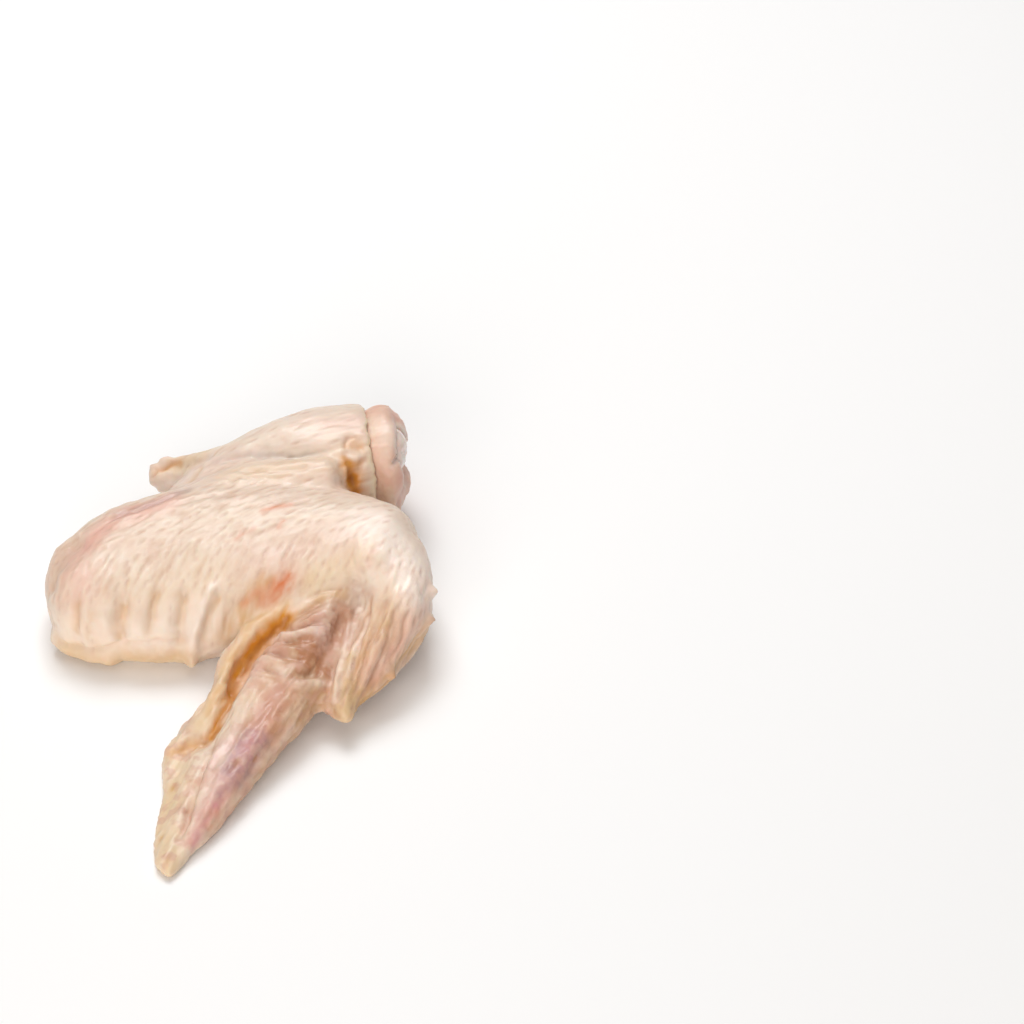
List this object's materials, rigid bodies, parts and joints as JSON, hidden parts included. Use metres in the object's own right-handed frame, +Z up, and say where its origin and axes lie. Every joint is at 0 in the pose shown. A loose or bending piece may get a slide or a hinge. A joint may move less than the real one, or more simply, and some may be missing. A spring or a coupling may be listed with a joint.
{
  "type": "raw chicken wing",
  "caption": "Whole raw chicken wing folded in a V, with drumette, flat and tip, a loose skin fold in the crook, and meat and bone showing at the shoulder cut.",
  "frame": {"origin": "centre of the box's base, on the surface that the wing rests on", "axes": "+Z up, +Y from the tip at the front to the drumette at the back, +X from the elbow to the wrist and the shoulder cut"},
  "size_m": [0.0918, 0.1378, 0.031],
  "materials": {
    "skin": "moist and soft, pale cream and pink",
    "meat": "moist, peach pink",
    "gristle": "moist, pearly white"
  },
  "bodies": {
    "root": {"wing": "skin", "muscle": "meat", "humerus": "gristle"}
  },
  "joints": []
}
